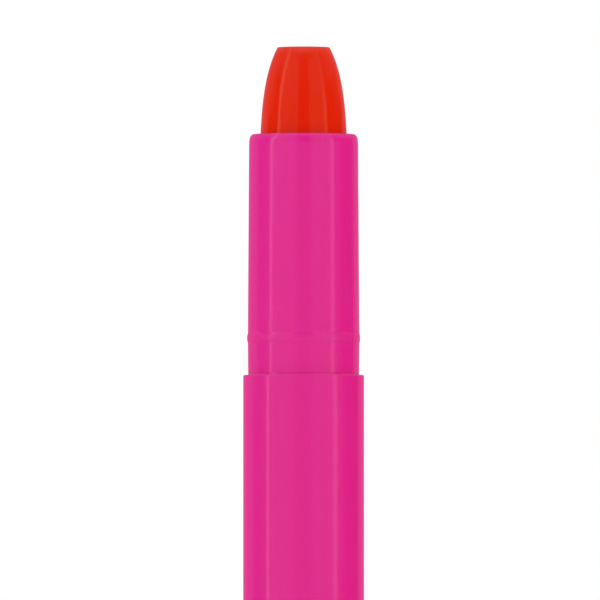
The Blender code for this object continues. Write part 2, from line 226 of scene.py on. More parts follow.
# %% [markdown]
# A studio could be built from panels, but the tent has to stand clear of every camera, so the world is
# its walls: white for the camera, cards for glossy rays and a soft fill for the rest. Cycles can't tell
# the kinds of ray apart when it picks points of the world as lamps, so that is off.

# %% World: the light tent
WHITE = (1, 1, 1, 1)
FILL = 0.745
FILL_SIDES = 0.7  # more from the left and the right than from the front
FILL_WARM = (1.0, 0.72, 0.62, 1)  # low down on the right
WARM_SIDE = (0.4, 1.0)  # across
WARM_TOP = (0.2, 0.7)  # up
CARD_TABLE = 0.44  # in front, level with the pen
CARD_FRONT = 0.10  # in front, above that
CARD_BACK = 0.61
CARD_ROOF = 0.85
ROSE = (1.0, 0.34, 0.53, 1)  # the card behind, which the edges of the walls mirror
CORAL = (0.92, 0.38, 0.40, 1)  # higher up on it, for the edges of the gel
TABLE_LINE = (0.045, 0.085)  # up
SIDE_LINE = (-0.55, 0.1)  # away
BACK_LINE = (0.39, 0.79)  # away
BACK_LEAN = 0.13  # nearer on the left
ROOF_LINE = (0.70, 0.80)  # up


def light_tent():
    """A world that is white for the camera, cards for the gloss and a soft fill for the rest."""
    world = bpy.data.worlds.new("light_tent")
    world.use_nodes = True
    world.cycles.sampling_method = "NONE"
    world.node_tree.nodes.clear()
    tree = Wire(world.node_tree)
    across, away, up = tree.node("ShaderNodeTexCoord", output="Generated").split()
    above = up.smooth(*TABLE_LINE)
    behind = (away - BACK_LEAN * across).smooth(*BACK_LINE)
    front = blend(CARD_TABLE, CARD_FRONT, above)
    cards = blend(front, side_cards(across, away, up, above), away.smooth(*SIDE_LINE))
    cards = blend(cards, CARD_BACK, behind)
    cards = blend(cards, CARD_ROOF, up.smooth(*ROOF_LINE))
    seen = tree.node("ShaderNodeLightPath", output="Is Camera Ray")
    glossy = tree.node("ShaderNodeLightPath", output="Is Glossy Ray")
    rest = 1 - seen - glossy
    fill = FILL * (1 + FILL_SIDES * across.math("ABSOLUTE"))
    warm = rest * across.smooth(*WARM_SIDE) * (1 - up.smooth(*WARM_TOP))
    colour = (glossy * behind).mix(warm.mix(WHITE, FILL_WARM), above.mix(ROSE, CORAL))
    strength = seen + glossy * cards + rest * fill
    light = tree.node("ShaderNodeBackground", sockets={"Color": colour, "Strength": strength})
    tree.node("ShaderNodeOutputWorld", sockets={"Surface": light})
    return world


bpy.context.scene.world = light_tent()
print("light tent: fill", FILL, "under a roof of", CARD_ROOF)

# %% [markdown]
# Two softboxes stand left and right of the camera, from below the table to high above it. On the glossy
# walls each one draws a faint broad band with a bright line at its outer edge, and between the two bands
# the wall stays a little darker. So each is a wide weak panel, with a narrow strip added along its outer
# side. They come in three tiers: upright walls mirror the lowest, and the leaning gel mirrors the two
# above, where the panels are brighter. They are there for the gloss alone, and the camera doesn't see
# them.

# %% Softboxes
LAMP_DISTANCE = 0.8
TIERS = (  # name, foot, top, then the radiance of a panel
    ("low", -0.35, 0.16, 0.09),
    ("middle", 0.16, 0.36, 0.26),
    ("high", 0.36, 0.92, 0.32),
)
PANEL_INNER = 16  # degrees from the camera
STRIPS = (  # side, outer edge in degrees from the camera, then width and radiance in each tier
    ("left", -75.2, ((0.08, 0.78), (0.13, 0.85), (0.17, 0.75))),
    ("right", 67.6, ((0.13, 0.45), (0.13, 0.45), (0.13, 0.15))),
)
WATTS_FOR_RADIANCE = 4  # for one unit of radiance over one square metre


def tall_lamp(name, degrees, width, foot, top, radiance):
    """An upright lamp on a circle round the pen, at this angle to the right of the camera."""
    data = bpy.data.lights.new(name, "AREA")
    data.shape = "RECTANGLE"
    data.size = width
    data.size_y = top - foot
    data.energy = radiance * WATTS_FOR_RADIANCE * data.size * data.size_y
    lamp = bpy.data.objects.new(name, data)
    angle = math.radians(degrees)
    outwards = Vector((math.sin(angle), -math.cos(angle), 0))
    lamp.location = outwards * LAMP_DISTANCE + Vector((0, 0, (foot + top) / 2))
    lamp.rotation_mode = "QUATERNION"
    lamp.rotation_quaternion = (-outwards).to_track_quat("-Z", "Y")
    lamp.visible_camera = False
    lamp.visible_diffuse = False
    bpy.context.scene.collection.objects.link(lamp)


for side, outer, strips in STRIPS:
    inner = math.copysign(PANEL_INNER, outer)
    panel_width = 2 * LAMP_DISTANCE * math.tan(math.radians(abs(outer - inner)) / 2)
    for (tier, foot, top, panel_radiance), (strip_width, strip_radiance) in zip(TIERS, strips):
        half_strip = math.copysign(math.degrees(strip_width / 2 / LAMP_DISTANCE), outer)
        tall_lamp(f"{side}_panel_{tier}", (inner + outer) / 2, panel_width, foot, top, panel_radiance)
        tall_lamp(f"{side}_strip_{tier}", outer - half_strip, strip_width, foot, top, strip_radiance)
    print(f"{side} softbox {panel_width:.2f} m wide, out to {outer} degrees")

# %% [markdown]
# Finishes
#
# Every finish starts as an empty tree that reads Object coordinates, so that its pattern has a real size
# and stays put when the piece moves. Pictures of a surface could be wrapped round instead, but on a round
# piece they leave a seam. Noise leaves none and comes in any size of lump, so all fine detail is noise.

# %% Helpers for finishes
def new_finish(name):
    """A material with an empty tree, and the place of a point on the piece."""
    material = bpy.data.materials.new(name)
    material.use_nodes = True
    material.node_tree.nodes.clear()
    tree = Wire(material.node_tree)
    return material, tree, tree.node("ShaderNodeTexCoord", output="Object")


def noise(place, lumps, detail=2.0, stretch=None):
    """Noise with so many lumps to the metre, drawn out along the axes that stretch makes small."""
    if stretch:
        place = place.node("ShaderNodeMapping", sockets={"Vector": place, "Scale": stretch})
    return place.node("ShaderNodeTexNoise", sockets={"Vector": place, "Scale": lumps, "Detail": detail})


def surface(tree, **sockets):
    """A Principled surface from socket values, with underscores for the spaces in their names."""
    named = {name.replace("_", " "): value for name, value in sockets.items()}
    shader = tree.node("ShaderNodeBsdfPrincipled", sockets=named)
    tree.node("ShaderNodeOutputMaterial", sockets={"Surface": shader})


def bumped(height, depth):
    """The normal of a surface whose height runs over this depth in metres."""
    return height.node("ShaderNodeBump", sockets={"Strength": 1.0, "Distance": depth, "Height": height})


helpers = (new_finish, noise, surface, bumped)
print("helpers for finishes:", ", ".join(helper.__name__ for helper in helpers))

# %% [markdown]
# The floor is a sheet of pale card. Near the pen it is a real surface that takes the shadow. Further
# off it turns clear, so that the white of the background shows and no horizon appears from any side.
# The gloss doesn't show it, because there the cards of the tent go on below the table.

# %% Floor
FLOOR_RADIUS = 1.2
FLOOR_SIDES = 96
FLOOR_DROP = 0.00005  # below the rear face, so that the two don't share a plane
FLOOR_CARD = (0.93, 0.93, 0.93, 1)
FLOOR_FLECK = (0.97, 0.97, 0.96, 1)
FLOOR_FADE = (0.2, 1.1)  # from the pen: all card up to the first, all clear past the second


def floor_card():
    """Pale card with a fine fleck, which turns clear further off."""
    material, tree, place = new_finish("floor_card")
    fleck = noise(place, lumps=900, detail=3)
    card = tree.node("ShaderNodeBsdfDiffuse", sockets={"Color": fleck.mix(FLOOR_CARD, FLOOR_FLECK)})
    clear = tree.node("ShaderNodeBsdfTransparent")
    reach = tree.node("ShaderNodeVectorMath", {"operation": "LENGTH"}, {0: place}, "Value")
    faded = tree.node("ShaderNodeMixShader", sockets={0: reach.smooth(*FLOOR_FADE), 1: card, 2: clear})
    tree.node("ShaderNodeOutputMaterial", sockets={"Surface": faded})
    return material


def floor_disc():
    """A disc of that card, which is stage and no part of the object."""
    bm = bmesh.new()
    bmesh.ops.create_circle(bm, cap_ends=True, radius=FLOOR_RADIUS, segments=FLOOR_SIDES)
    bmesh.ops.translate(bm, verts=bm.verts, vec=(0, 0, -FLOOR_DROP))
    mesh = bpy.data.meshes.new("floor")
    bm.to_mesh(mesh)
    bm.free()
    mesh.materials.append(floor_card())
    floor = bpy.data.objects.new("floor", mesh)
    floor.visible_glossy = False
    bpy.context.scene.collection.objects.link(floor)
    return floor


print(f"floor {floor_disc().dimensions.x:.2f} m across")

# %% [markdown]
# The barrel, neck, knob and plug are moulded in one neon pink plastic. Up close such a wall isn't one
# flat colour: the pigment lies in faint streaks along the flow of the melt, the skin has a very fine
# orange peel, and handling leaves the gloss a little uneven. Noise gives all three, and squeezing its
# coordinates along Z draws the streaks out. The cap rubs the snap bead on the neck, so the gloss is a
# little duller there.

# %% Pink plastic
PINK_DEEP = (0.766, 0.0110, 0.270, 1)
PINK_LIGHT = (0.804, 0.0133, 0.288, 1)
PINK_ROUGHNESS = (0.10, 0.16)  # from the glossiest to the most handled
PLASTIC_IOR = 1.49
STREAK_SHARE = 0.6  # of the change of colour, and clouds have the rest
STREAKS_ALONG = (1, 1, 0.05)
BEAD_RISE = 0.0043  # from the shoulder up to the middle of the neck's snap bead
BEAD_WEAR = 0.09  # added roughness, where the cap rubs
BEAD_WORN = (0.00024, 0.00072)  # from its middle: all worn up to the first, not worn past the second


def pink_plastic():
    material, tree, place = new_finish("pink_plastic")
    streaks = noise(place, lumps=700, detail=3, stretch=STREAKS_ALONG)
    clouds = noise(place, lumps=160)
    peel = noise(place, lumps=2200, detail=1)
    off_bead = (place.split()[2] - (shoulder + BEAD_RISE)).math("ABSOLUTE")
    worn = 1 - off_bead.smooth(*BEAD_WORN)
    surface(
        tree,
        Base_Color=blend(clouds, streaks, STREAK_SHARE).mix(PINK_DEEP, PINK_LIGHT),
        Roughness=blend(*PINK_ROUGHNESS, clouds) + BEAD_WEAR * worn,
        IOR=PLASTIC_IOR,
        Subsurface_Weight=0.12,
        Subsurface_Radius=(1.0, 0.3, 0.6),
        Subsurface_Scale=0.0008,
        Normal=bumped(peel + streaks, depth=0.0000012),
    )
    return material


pink = pink_plastic()
print("pink plastic:", len(pink.node_tree.nodes), "nodes")

# %% [markdown]
# The gel is a soft waxy stick, a little see-through at its skin. Light that enters it comes out again
# nearby, which a constant share of subsurface scattering gives. Casting leaves it slightly cloudy and
# dented, and sliding through the sleeve draws fine lines along it. Writing rubs the tip, so it is duller
# there. Its very edge is painted paler, as a painted highlight.
# The dye in the skin gives the gloss a faint amber cast.

# %% Red gel
GEL_DEEP = (0.763, 0.0148, 0.0005, 1)
GEL_LIGHT = (0.813, 0.0172, 0.0010, 1)
GEL_CLOUD_SHARE = 0.7  # of the change of colour, and drawn lines have the rest
# painted highlight: a paler colour painted along the very edge of the tip
GEL_PAINTED_HIGHLIGHT = (0.780, 0.0420, 0.0250, 1)
GEL_PAINTED_HIGHLIGHT_DEPTH = 0.0010
GEL_ROUGHNESS = (0.075, 0.125)  # from the clearest to the cloudiest
GEL_RUBBED = 0.07  # added roughness at the tip
GEL_RUBBED_DEPTH = 0.006
GEL_LINE_HEIGHT = 0.2  # of a drawn line, beside a dent of 1


def red_gel():
    material, tree, place = new_finish("red_gel")
    clouds = noise(place, lumps=260, detail=3)
    drawn = noise(place, lumps=1600, stretch=STREAKS_ALONG)
    dents = noise(place, lumps=650)
    body = blend(drawn, clouds, GEL_CLOUD_SHARE).mix(GEL_DEEP, GEL_LIGHT)
    height = place.split()[2]
    # painted highlight: the top of the tip is painted paler over its last millimetre
    edge = height.smooth(stick_tip - GEL_PAINTED_HIGHLIGHT_DEPTH, stick_tip)
    rubbed = height.smooth(stick_tip - GEL_RUBBED_DEPTH, stick_tip)
    surface(
        tree,
        Base_Color=edge.mix(body, GEL_PAINTED_HIGHLIGHT),
        Roughness=blend(*GEL_ROUGHNESS, clouds) + GEL_RUBBED * rubbed,
        IOR=1.38,
        Specular_Tint=(1.0, 1.0, 0.66, 1),
        Subsurface_Weight=0.25,
        Subsurface_Radius=(1.0, 0.3, 0.12),
        Subsurface_Scale=0.0012,
        Normal=bumped(GEL_LINE_HEIGHT * drawn + dents, depth=0.00002),
    )
    return material


gel_red = red_gel()
print("red gel:", len(gel_red.node_tree.nodes), "nodes")

# %% [markdown]
# The pieces inside are natural white plastic and one black rubber ring. They hardly show, but someone
# who opens the model sees them. The white is a slightly milky moulding, and the rubber is matt with a
# fine grain.

# %% White plastic and black rubber
WHITE_DEEP = (0.74, 0.73, 0.69, 1)
WHITE_LIGHT = (0.82, 0.82, 0.80, 1)
WHITE_ROUGHNESS = (0.34, 0.46)
RUBBER_DEEP = (0.012, 0.012, 0.013, 1)
RUBBER_LIGHT = (0.030, 0.030, 0.031, 1)
RUBBER_ROUGHNESS = (0.62, 0.82)


def white_plastic():
    material, tree, place = new_finish("white_plastic")
    clouds = noise(place, lumps=300, detail=3)
    peel = noise(place, lumps=2500, detail=1)
    surface(
        tree,
        Base_Color=clouds.mix(WHITE_DEEP, WHITE_LIGHT),
        Roughness=blend(*WHITE_ROUGHNESS, clouds),
        IOR=PLASTIC_IOR,
        Subsurface_Weight=0.15,
        Subsurface_Radius=(1.0, 0.9, 0.8),
        Subsurface_Scale=0.0008,
        Normal=bumped(peel, depth=0.0000015),
    )
    return material


def black_rubber():
    material, tree, place = new_finish("black_rubber")
    grain = noise(place, lumps=9000, detail=3)
    surface(
        tree,
        Base_Color=grain.mix(RUBBER_DEEP, RUBBER_LIGHT),
        Roughness=blend(*RUBBER_ROUGHNESS, grain),
        Normal=bumped(grain, depth=0.000004),
    )
    return material


white = white_plastic()
rubber = black_rubber()
print("inner finishes:", white.name, "and", rubber.name)

# %% [markdown]
# Turned pieces
#
# Almost every piece is round, so each is an outline turned about the Z axis. The outline lists only
# the corners of the section, each with the size of its round, and a helper draws the rounds as arcs.
# A Bevel modifier could round the edges afterwards, but here each edge has its own small radius.

# %% Outlines with rounds
ARC_STEPS = 5


def rounded(corners):
    """Corners (radius, height, round) in order, as points with the rounds drawn in."""
    points = []
    for i, (r, z, size) in enumerate(corners):
        here = Vector((r, z))
        if not size:
            points.append(here)
            continue
        back = (Vector(corners[i - 1][:2]) - here).normalized()
        on = (Vector(corners[(i + 1) % len(corners)][:2]) - here).normalized()
        half = back.angle(on) / 2
        centre = here + (back + on).normalized() * size / math.sin(half)
        start = here + back * size / math.tan(half) - centre
        turn = math.copysign(math.pi - 2 * half, on.cross(back))
        turns = [turn * step / ARC_STEPS for step in range(ARC_STEPS + 1)]
        points += [centre + Matrix.Rotation(angle, 2) @ start for angle in turns]
    return points


print("a rounded corner has", ARC_STEPS + 1, "points")

# %% [markdown]
# The outline lies in the XZ plane, and bmesh's spin takes it once round. It leaves a seam where the turn
# ends and, on the axis, one point for each step, so points in one place are merged. Then the normals
# are worked out again, because a spin may leave them pointing inwards.

# %% Turning
SEGMENTS = 256
MERGE_DISTANCE = 1e-7


def turned(name, outline, segments=SEGMENTS):
    """The outline turned once round Z. Where it ends on the axis, the axis closes it."""
    bm = bmesh.new()
    points = [bm.verts.new((p[0], 0, p[1])) for p in outline]
    pairs = zip(points, points[1:] + points[:1])
    edges = [bm.edges.new(pair) for pair in pairs if pair[0].co.x or pair[1].co.x]
    bmesh.ops.spin(
        bm, geom=points + edges, axis=(0, 0, 1), angle=2 * math.pi, steps=segments, use_merge=True
    )
    bmesh.ops.remove_doubles(bm, verts=bm.verts, dist=MERGE_DISTANCE)
    bmesh.ops.recalc_face_normals(bm, faces=bm.faces)
    mesh = bpy.data.meshes.new(name)
    bm.to_mesh(mesh)
    bm.free()
    piece = bpy.data.objects.new(name, mesh)
    bpy.context.scene.collection.objects.link(piece)
    return piece


print("a turned piece has", SEGMENTS, "segments")

# %% [markdown]
# A new mesh is shaded flat, which would show every facet. So it is shaded smooth, with sharp edges only
# where faces meet at a steep angle. Beside a small round that still bends the light on the wall next to
# it. The Weighted Normal modifier mends that, because the large faces decide, and its result is kept as a
# plain mesh. Last, the piece is hung on the body that carries it, and the solid it stands for is hidden.

# %% Dressing a piece
SHARP_ANGLE = math.radians(35)


def bake_modifiers(piece):
    """Gives the piece the mesh that its modifiers make of it, and removes them."""
    graph = bpy.context.evaluated_depsgraph_get()
    piece.data = bpy.data.meshes.new_from_object(piece.evaluated_get(graph))
    piece.modifiers.clear()


def dress(piece, finish, body, node):
    """Shades a finished piece, hangs it on its body and hides the solid that it stands for."""
    piece.data.shade_smooth()
    piece.data.set_sharp_from_angle(angle=SHARP_ANGLE)
    normals = piece.modifiers.new("normals", "WEIGHTED_NORMAL")
    normals.keep_sharp = True
    bake_modifiers(piece)
    piece.data.materials.clear()
    piece.data.materials.append(finish)
    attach(piece, body)
    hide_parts(node)
    piece.data.calc_loop_triangles()
    print(f"{piece.name} on {body}: {len(piece.data.loop_triangles)} triangles")


print(f"edges are sharp past {math.degrees(SHARP_ANGLE):.0f} degrees")

# %% [markdown]
# The barrel is a plain tube. Its mouth is counterbored for the foot of the neck, and a groove near its
# rear end takes the knob's snap bead. Two Booleans could cut these out of a tube, but in a turned outline
# they are only a few more corners. What shows is the shoulder, so its edge gets a true small round.

# %% Barrel
BARREL_BORE_R = 0.00605
MOUTH_R = 0.00661
MOUTH_DEPTH = 0.0015
BARREL_EDGE = 0.00015
MOULD_EDGE = 0.00008  # the least round that a mould leaves
SNAP_GROOVE_R = 0.0065
SNAP_GROOVE_RISE = 0.0064  # from the barrel's rear end to the middle of the groove
SNAP_GROOVE_WIDTH = 0.0016

groove = barrel_rear + SNAP_GROOVE_RISE
groove_low = groove - SNAP_GROOVE_WIDTH / 2
groove_high = groove + SNAP_GROOVE_WIDTH / 2
seat = shoulder - MOUTH_DEPTH
barrel = turned("barrel_tube", rounded([
    (MOUTH_R, shoulder, MOULD_EDGE),
    (barrel_r, shoulder, BARREL_EDGE),
    (barrel_r, barrel_rear, BARREL_EDGE),
    (BARREL_BORE_R, barrel_rear, MOULD_EDGE),
    (BARREL_BORE_R, groove_low, 0),
    (SNAP_GROOVE_R, groove_low + SNAP_GROOVE_R - BARREL_BORE_R, 0),
    (SNAP_GROOVE_R, groove_high, 0),
    (BARREL_BORE_R, groove_high, 0),
    (BARREL_BORE_R, seat, 0),
    (MOUTH_R, seat, 0),
]))
dress(barrel, pink, "barrel", "outer_barrel")

# %% [markdown]
# The neck takes the cap. From the rim down it has a short curved lead-in, a taper too slight to see by
# itself, and a low ring that the cap snaps over. Neither curve is an arc, so each has a formula of its
# own: a quarter of an ellipse for the lead-in and a squared sine for the ring.

# %% Lead-in and bead
NECK_RIM_R = 0.00632
RIM_EDGE = 0.00015
LEAD_IN_HEIGHT = 0.0011
LEAD_IN_DEPTH = 0.00026


def lead_in(steps=8):
    """A quarter of an ellipse from the rim's edge down to the full wall."""
    turns = [math.pi / 2 * i / steps for i in range(1, steps + 1)]
    foot = neck_rim - LEAD_IN_HEIGHT
    height = LEAD_IN_HEIGHT - RIM_EDGE
    start = NECK_RIM_R - LEAD_IN_DEPTH
    return [(start + LEAD_IN_DEPTH * math.sin(t), foot + height * math.cos(t)) for t in turns]


def bead(radius, height, middle, width, steps=12):
    """A low round ring on a wall, from its top to its foot."""
    turns = [math.pi * i / steps for i in range(steps + 1)]
    return [(radius + height * math.sin(t) ** 2, middle + width / 2 * math.cos(t)) for t in turns]


print(f"lead-in {LEAD_IN_HEIGHT * MM:.2f} mm high and {LEAD_IN_DEPTH * MM:.2f} mm deep")

# %% [markdown]
# At the neck's foot a small flange fills the barrel's mouth, with a fillet up into the wall. The lower
# half is a thin spigot inside the barrel that ends in a bulkhead. The hole there has two flats, which
# stop the push rod from turning. A Boolean could cut such a hole, but it is simpler to turn it round
# first and then push its points in to the flats.

# %% Neck and its sleeve
BORE_R = 0.00535
RIM_WALL_HEIGHT = 0.00045
RIM_WALL_LEAN = 0.000015  # outwards over that height, where the lead-in meets the rim's round
NECK_FOOT_R = 0.00646
NECK_UNDERCUT = 0.00003
UNDERCUT_HEIGHT = 0.0003
NECK_FILLET = 0.00015
MOUTH_FIT = 0.00002
MOUTH_SINK = 0.00002  # from the shoulder down to the flange that fills the mouth
BEAD_HEIGHT = 0.00009
BEAD_WIDTH = 0.0012
SPIGOT_R = 0.0059
SEAT_CLEARANCE = 0.00015
BULKHEAD = 0.0050
KEY_R = 0.00405
KEY_FLAT = 0.00365


def cut_flats(piece, radius, half):
    """Pushes the points of a round wall, and all within it, in to two flats that face along X."""
    for vertex in piece.data.vertices:
        if vertex.co.xy.length < radius + MERGE_DISTANCE:
            vertex.co.x = max(-half, min(half, vertex.co.x))


sleeve_rear = sleeve_low.z
bulkhead_top = sleeve_rear + BULKHEAD
rim_r = NECK_RIM_R - LEAD_IN_DEPTH
rim_round = rounded([
    (BORE_R, bulkhead_top, 0),
    (BORE_R, neck_rim, RIM_EDGE),
    (rim_r, neck_rim, RIM_EDGE),
    (rim_r + RIM_WALL_LEAN, neck_rim - RIM_WALL_HEIGHT, 0),
])[:-1]
flange_top = shoulder - MOUTH_SINK
foot_round = rounded([
    (NECK_FOOT_R - NECK_UNDERCUT, flange_top + UNDERCUT_HEIGHT, 0),
    (NECK_FOOT_R - NECK_UNDERCUT, flange_top, NECK_FILLET),
    (MOUTH_R - MOUTH_FIT, flange_top, 0),
    (MOUTH_R - MOUTH_FIT, seat + SEAT_CLEARANCE, 0),
])
neck = turned("neck_sleeve", [
    (KEY_R, bulkhead_top),
    *rim_round,
    *lead_in(),
    *bead(NECK_FOOT_R, BEAD_HEIGHT, shoulder + BEAD_RISE, BEAD_WIDTH),
    *foot_round,
    (SPIGOT_R, seat + SEAT_CLEARANCE),
    (SPIGOT_R, sleeve_rear + RIM_EDGE),
    (SPIGOT_R - RIM_EDGE, sleeve_rear),
    (KEY_R, sleeve_rear),
])
cut_flats(neck, KEY_R, KEY_FLAT)
dress(neck, pink, "barrel", "front_sleeve")

# %% [markdown]
# Rules for points
#
# Some shapes follow a rule: the swell of the gel, the knob's flutes, the thread of the screw. Geometry
# Nodes can hold such a rule as a tree with named sizes, which works out a new place for each point.
# Four helpers are enough: one makes a tree and its inputs, one ends it with plain geometry and a
# material, one does so after moving each point to or from the axis, and one runs the tree on a piece and
# keeps the result as a plain mesh.

# %% Helpers for Geometry Nodes
GEOMETRY = "NodeSocketGeometry"
LENGTH = "NodeSocketFloat"
MATERIAL = "NodeSocketMaterial"


def geometry_tree(name, sizes):
    """A tree with a mesh, these lengths and a material for inputs. Returns it and its input wires."""
    tree = bpy.data.node_groups.new(name, "GeometryNodeTree")
    inputs = {"Mesh": GEOMETRY, **dict.fromkeys(sizes, LENGTH), "Material": MATERIAL}
    for label, kind in inputs.items():
        tree.interface.new_socket(label, in_out="INPUT", socket_type=kind)
    tree.interface.new_socket("Mesh", in_out="OUTPUT", socket_type=GEOMETRY)
    group = Wire(tree).node("NodeGroupInput").socket.node
    return tree, {label: Wire(tree, group.outputs[label]) for label in inputs}


def close_tree(mesh, material):
    """Ends a tree with plain geometry that carries its material."""
    real = mesh.node("GeometryNodeRealizeInstances", sockets={0: mesh})
    painted = real.node("GeometryNodeSetMaterial", sockets={"Geometry": real, "Material": material})
    painted.node("NodeGroupOutput", sockets={"Mesh": painted})


def widen_and_close(size, point, scale):
    """Ends a tree whose rule scales the distance of each point from the Z axis."""
    x, y, z = point
    moved = z.node("ShaderNodeCombineXYZ", sockets={"X": x * scale, "Y": y * scale, "Z": z})
    mesh = moved.node("GeometryNodeSetPosition", sockets={"Geometry": size["Mesh"], "Position": moved})
    close_tree(mesh, size["Material"])


def run_tree(piece, tree, values):
    """Gives the piece the tree's result as a plain mesh."""
    modifier = piece.modifiers.new(tree.name, "NODES")
    modifier.node_group = tree
    for item in tree.interface.items_tree:
        if item.in_out == "INPUT" and item.name in values:
            modifier[item.identifier] = values[item.name]
    bake_modifiers(piece)
    print(f"{tree.name}: {len(piece.data.vertices)} points from {len(tree.nodes)} nodes")


helpers = (geometry_tree, close_tree, widen_and_close, run_tree)
print("helpers for Geometry Nodes:", ", ".join(helper.__name__ for helper in helpers))

# %% [markdown]
# The gel
#
# The gel is cast as a straight stick whose end swells from a flat tip to the full diameter. It swells
# fast at first and then ever more slowly, which an exponential describes with one length. So the stick
# is turned as a plain rod, and a Geometry Nodes tree draws its end in by that rule.

# %% Tip rule
def swollen_tip():
    """A tree that draws the end of a rod in to a tip, by an exponential of the depth below it."""
    tree, size = geometry_tree("swollen_tip", ("Full Radius", "Tip Radius", "Fade", "Tip Height"))
    x, y, z = Wire(tree).node("GeometryNodeInputPosition").split()
    depth = (size["Tip Height"] - z) / size["Fade"]
    drawn = (size["Full Radius"] - size["Tip Radius"]) * (0 - depth).math("EXPONENT")
    widen_and_close(size, (x, y, z), 1 - drawn / size["Full Radius"])
    return tree


tip_rule = swollen_tip()
print("tip rule:", len(tip_rule.nodes), "nodes")

# %% [markdown]
# A rule can only move points that are there, so the rod's wall has many rows, closest together near the
# tip, where the curve is strongest. The root is thinner, because it sits in a cup, and a recess in its
# end makes room for the stud that holds the cup.

# %% Gel stick
GEL_TIP_R = 0.00302
GEL_FADE = 0.0042
GEL_TIP_EDGE = 0.00004
GEL_ROOT_R = 0.00435
GEL_FREE_LENGTH = 0.0450  # from the tip down to the rim of the cup
GEL_RECESS_R = 0.0020
GEL_RECESS = 0.0010
GEL_ROWS = 90
GEL_ROWS_REACH = 0.0252  # below the tip, past which the wall is all but straight
GEL_ROWS_CROWD = 1.5  # 1 spaces the rows evenly, and more crowds them towards the tip

root = stick_low.z
root_step = stick_tip - GEL_FREE_LENGTH + SEAT_CLEARANCE
wall_top = stick_tip - GEL_TIP_EDGE
gel_rows = [wall_top - GEL_ROWS_REACH * (i / GEL_ROWS) ** GEL_ROWS_CROWD for i in range(1, GEL_ROWS)]
tip_round = rounded([
    (0, stick_tip, 0),
    (stick_r, stick_tip, GEL_TIP_EDGE),
    (stick_r, root_step, 0),
])[:-1]
stick = turned("gel", [
    *tip_round,
    *[(stick_r, z) for z in gel_rows],
    (stick_r, root_step),
    (GEL_ROOT_R, root_step),
    (GEL_ROOT_R, root),
    (GEL_RECESS_R, root),
    (GEL_RECESS_R, root + GEL_RECESS),
    (0, root + GEL_RECESS),
])
run_tree(stick, tip_rule, {
    "Full Radius": stick_r,
    "Tip Radius": GEL_TIP_R,
    "Fade": GEL_FADE,
    "Tip Height": stick_tip,
    "Material": gel_red,
})
dress(stick, gel_red, "stick", "gel_stick")

# %% [markdown]
# The rear end
#
# The knob is a tube that the fingers turn, so shallow flutes run along it. Each is the track of a
# ball-nosed cutter, open at the rear and round at the front. Twenty cutters and a Boolean would do it,
# but the rule is simple enough for the points themselves: a tree moves each point inwards to where
# the nearest cutter would have left the wall.

# %% Flute rule
def grip_flutes():
    """A tree that cuts flutes round a turned wall, each the track of a ball-nosed cutter."""
    names = ("Flute Count", "Flute Depth", "Cutter Radius", "Grip Radius", "Cutter End", "Edge Round")
    tree, size = geometry_tree("grip_flutes", names)
    x, y, z = Wire(tree).node("GeometryNodeInputPosition").split()
    reach = (x * x + y * y).math("SQRT")
    angle = y.math("ARCTAN2", x)
    pitch = 2 * math.pi / size["Flute Count"]
    off = angle - pitch * (angle / pitch).math("ROUND")
    cutter = size["Cutter Radius"]
    centre = size["Grip Radius"] + cutter - size["Flute Depth"]
    past = (z - size["Cutter End"]).math("MAXIMUM", 0.0)
    aside = centre * off.math("SINE")
    chord = (cutter * cutter - past * past - aside * aside).math("MAXIMUM", 0.0).math("SQRT")
    wall = centre * off.math("COSINE") - chord
    scale = reach.math("SMOOTH_MIN", wall, size["Edge Round"]) / reach
    widen_and_close(size, (x, y, z), scale)
    return tree


flute_rule = grip_flutes()
print("flute rule:", len(flute_rule.nodes), "nodes")

# %% [markdown]
# The grip is the part of the knob that shows, a round wall with rounded edges that the rule then cuts. As
# on the gel, the rule needs points to move, so close rows lie where the flutes end.

# %% Grip of the knob
KNOB_LENGTH = 0.0185
KNOB_EDGE = 0.0003
KNOB_CAVITY_R = 0.0057
KNOB_WEB_TOP = 0.0125  # above the knob's rear
KNOB_WEB = 0.0020
COLLAR_R = 0.00585
FLUTE_RADIUS = 0.0009
FLUTE_SETBACK = 0.0044  # from the knob's front to the middle of the cutter's round end
FLUTE_END_ROWS = 16

knob_low, knob_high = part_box("twist_knob")
knob_rear = knob_low.z
knob_front = knob_rear + KNOB_LENGTH
web_top = knob_rear + KNOB_WEB_TOP
web_low = web_top - KNOB_WEB
cutter_end = knob_front - FLUTE_SETBACK
row_step = FLUTE_RADIUS / FLUTE_END_ROWS
grip_rows = [cutter_end + row_step * i for i in range(FLUTE_END_ROWS, -1, -1)]
front_edge = rounded([
    (COLLAR_R, knob_front, 0),
    (barrel_r, knob_front, KNOB_EDGE),
    (barrel_r, cutter_end, 0),
])[:-1]
rear_edge = rounded([
    (barrel_r, cutter_end, 0),
    (barrel_r, knob_rear, KNOB_EDGE),
    (KNOB_CAVITY_R, knob_rear, MOULD_EDGE),
    (KNOB_CAVITY_R, web_low, 0),
])[1:]
grip = [*front_edge, *[(barrel_r, z) for z in grip_rows], *rear_edge]
print(f"grip {KNOB_LENGTH * MM:.1f} mm long, with {len(grip)} points in its outline")

# %% [markdown]
# The rest of the knob goes on the same outline. Above the grip a collar goes into the barrel, with a snap
# bead near its end and a groove for the drag ring. Inside, a boss holds the screw's square shank in a
# socket, which is turned round first and has its points then moved out to the square.

# %% Twist knob
BOSS_R = 0.003816
BOSS_LENGTH = 0.0050
SOCKET_HALF = 0.00185
COLLAR_BORE_R = 0.00455
RING_GROOVE_R = 0.00505
RING_RISE = 0.0018
RING_SECTION = 0.0007
SNAP_RISE = 0.0066
SNAP_WIDTH = 0.0012
SNAP_HEIGHT = 0.00045
FLUTE_COUNT = 20
FLUTE_DEPTH = 0.00035
FLUTE_EDGE = 0.00005
FLUTE_SEGMENTS = 20  # of the knob's wall, to each flute


